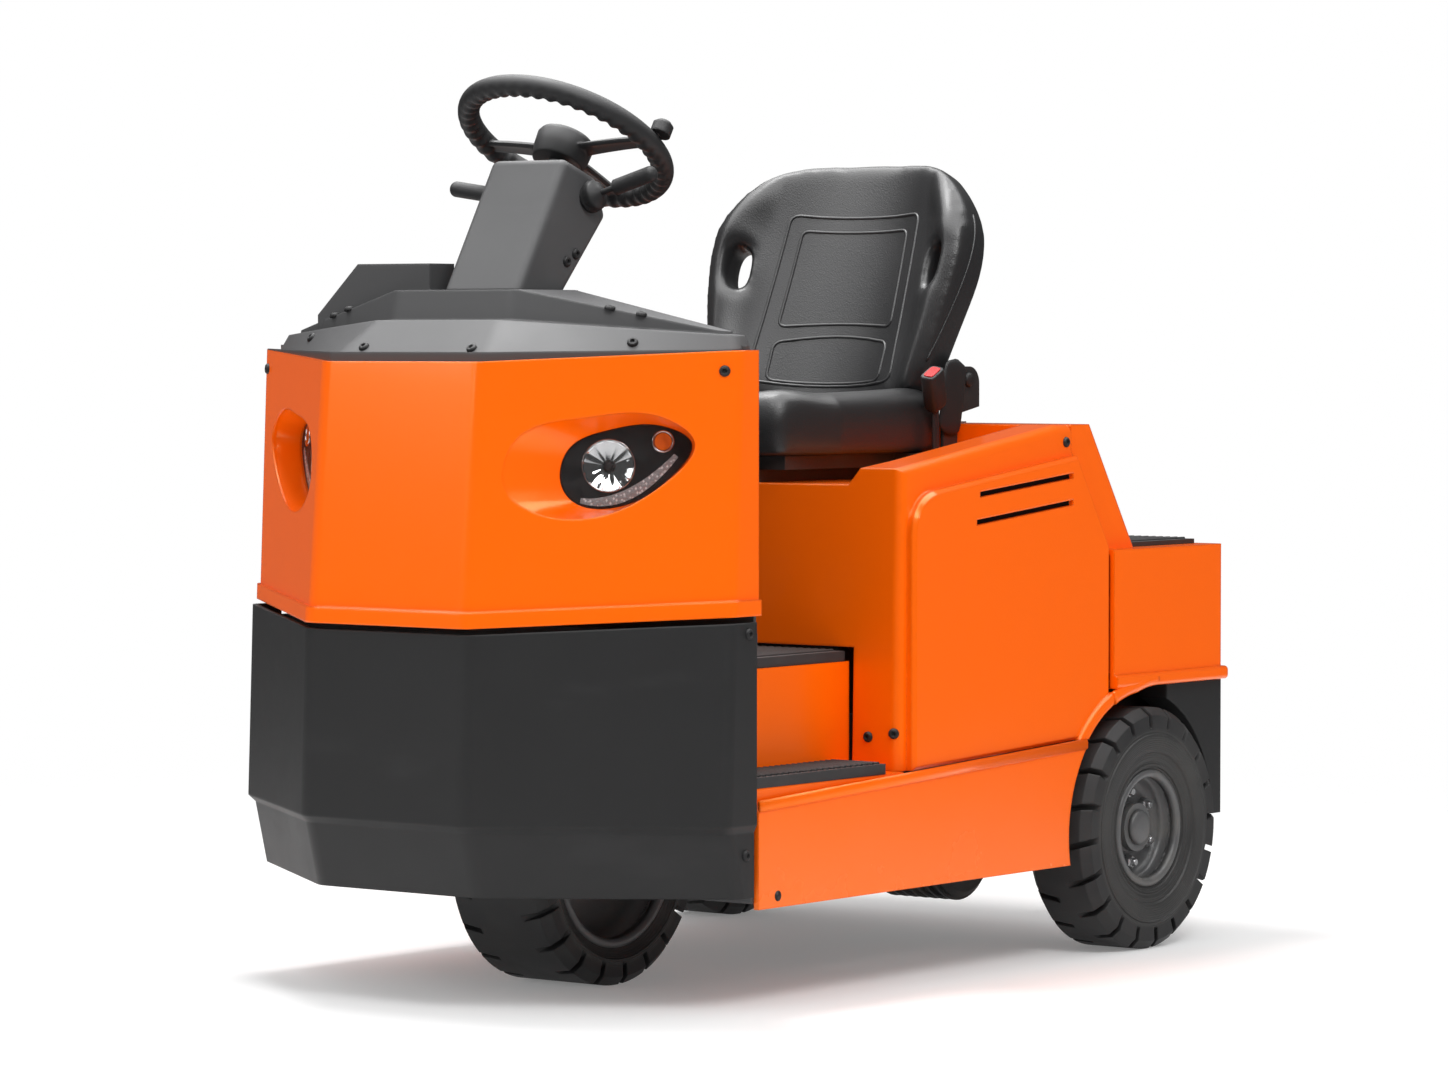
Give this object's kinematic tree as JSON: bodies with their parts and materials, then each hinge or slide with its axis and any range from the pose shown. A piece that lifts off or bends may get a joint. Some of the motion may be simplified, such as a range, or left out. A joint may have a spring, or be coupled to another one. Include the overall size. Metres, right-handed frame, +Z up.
{
  "type": "baggage tow tractor",
  "caption": "Ride-on electric tow tractor with a faceted nose, open step-through floor, tipping hood with driver seat, steered front wheel and rear tow coupling.",
  "frame": {"origin": "on the floor, at the middle of the overall length and width", "axes": "+X forward, +Y to the driver's left, +Z up"},
  "size_m": [1.714, 0.972, 1.4114],
  "materials": {
    "orange_paint": "gloss",
    "dark_moulding": "satin",
    "grey_moulding": "satin",
    "black_plastic": "satin",
    "mat_rubber": "matt",
    "chassis_paint": "satin",
    "hinge_steel": "brushed",
    "rim_paint": "satin",
    "tyre_rubber": "matt",
    "seat_vinyl": "grained vinyl",
    "clear_cover": "clear",
    "amber_lens": "gloss",
    "red_lens": "gloss"
  },
  "bodies": {
    "chassis": {"front_panel": "orange_paint", "rear_body": "orange_paint", "side_sill_left": "orange_paint", "side_sill_right": "orange_paint", "front_bumper": "dark_moulding", "rear_bumper": "dark_moulding", "dash_cowl": "grey_moulding", "steering_column": "grey_moulding", "column_levers": "black_plastic", "headlamp_left": "black_plastic", "headlamp_right": "black_plastic", "battery": "black_plastic", "floor_mat": "mat_rubber", "step_mat_left": "mat_rubber", "step_mat_right": "mat_rubber", "deck_mat": "mat_rubber", "pedals": "mat_rubber", "chassis_frame": "chassis_paint", "floor_tunnel": "chassis_paint", "bulkhead": "chassis_paint", "drive_axle": "chassis_paint", "drive_motor": "chassis_paint", "tow_coupling": "chassis_paint", "hinge_fixed": "hinge_steel", "headlamp_cover_left": "clear_cover", "headlamp_cover_right": "clear_cover", "turn_lens_left": "amber_lens", "turn_lens_right": "amber_lens", "tail_lamps": "red_lens"},
    "fork": {"steer_fork": "chassis_paint"},
    "front_wheel": {"front_tyre": "tyre_rubber", "front_rim": "rim_paint"},
    "rear_wheel_left": {"rear_left_tyre": "tyre_rubber", "rear_left_rim": "rim_paint"},
    "rear_wheel_right": {"rear_right_tyre": "tyre_rubber", "rear_right_rim": "rim_paint"},
    "hand_wheel": {"steering_wheel": "black_plastic", "spinner_knob": "black_plastic"},
    "hood_group": {"hood": "orange_paint", "hinge_hood": "hinge_steel", "seat_base": "chassis_paint", "seat_cushion": "seat_vinyl", "seat_back": "seat_vinyl", "seat_buckle": "black_plastic"}
  },
  "joints": [
    {"name": "steer", "type": "hinge", "parent": "chassis", "child": "fork", "pos_m": [0.40005, 0, 0.45], "axis": [0, 0, 1], "range_deg": [-80, 80]},
    {"name": "front_wheel_spin", "type": "hinge", "parent": "fork", "child": "front_wheel", "pos_m": [0.40005, 0, 0.2], "axis": [0, 1, 0], "continuous": true},
    {"name": "rear_left_spin", "type": "hinge", "parent": "chassis", "child": "rear_wheel_left", "pos_m": [-0.51694, 0.425, 0.2], "axis": [0, 1, 0], "continuous": true},
    {"name": "rear_right_spin", "type": "hinge", "parent": "chassis", "child": "rear_wheel_right", "pos_m": [-0.51694, -0.425, 0.2], "axis": [0, 1, 0], "continuous": true},
    {"name": "hand_wheel_turn", "type": "hinge", "parent": "chassis", "child": "hand_wheel", "pos_m": [0.41896, 0, 1.314], "axis": [-0.515, 0, 0.8572], "range_deg": [-360, 360]},
    {"name": "hood_tilt", "type": "hinge", "parent": "chassis", "child": "hood_group", "pos_m": [-0.335, 0, 0.8753], "axis": [0, -1, 0], "range_deg": [0, 50]}
  ],
  "couplings": [
    {"joint": "hand_wheel_turn", "follows": "steer", "ratio": 4.5}
  ]
}
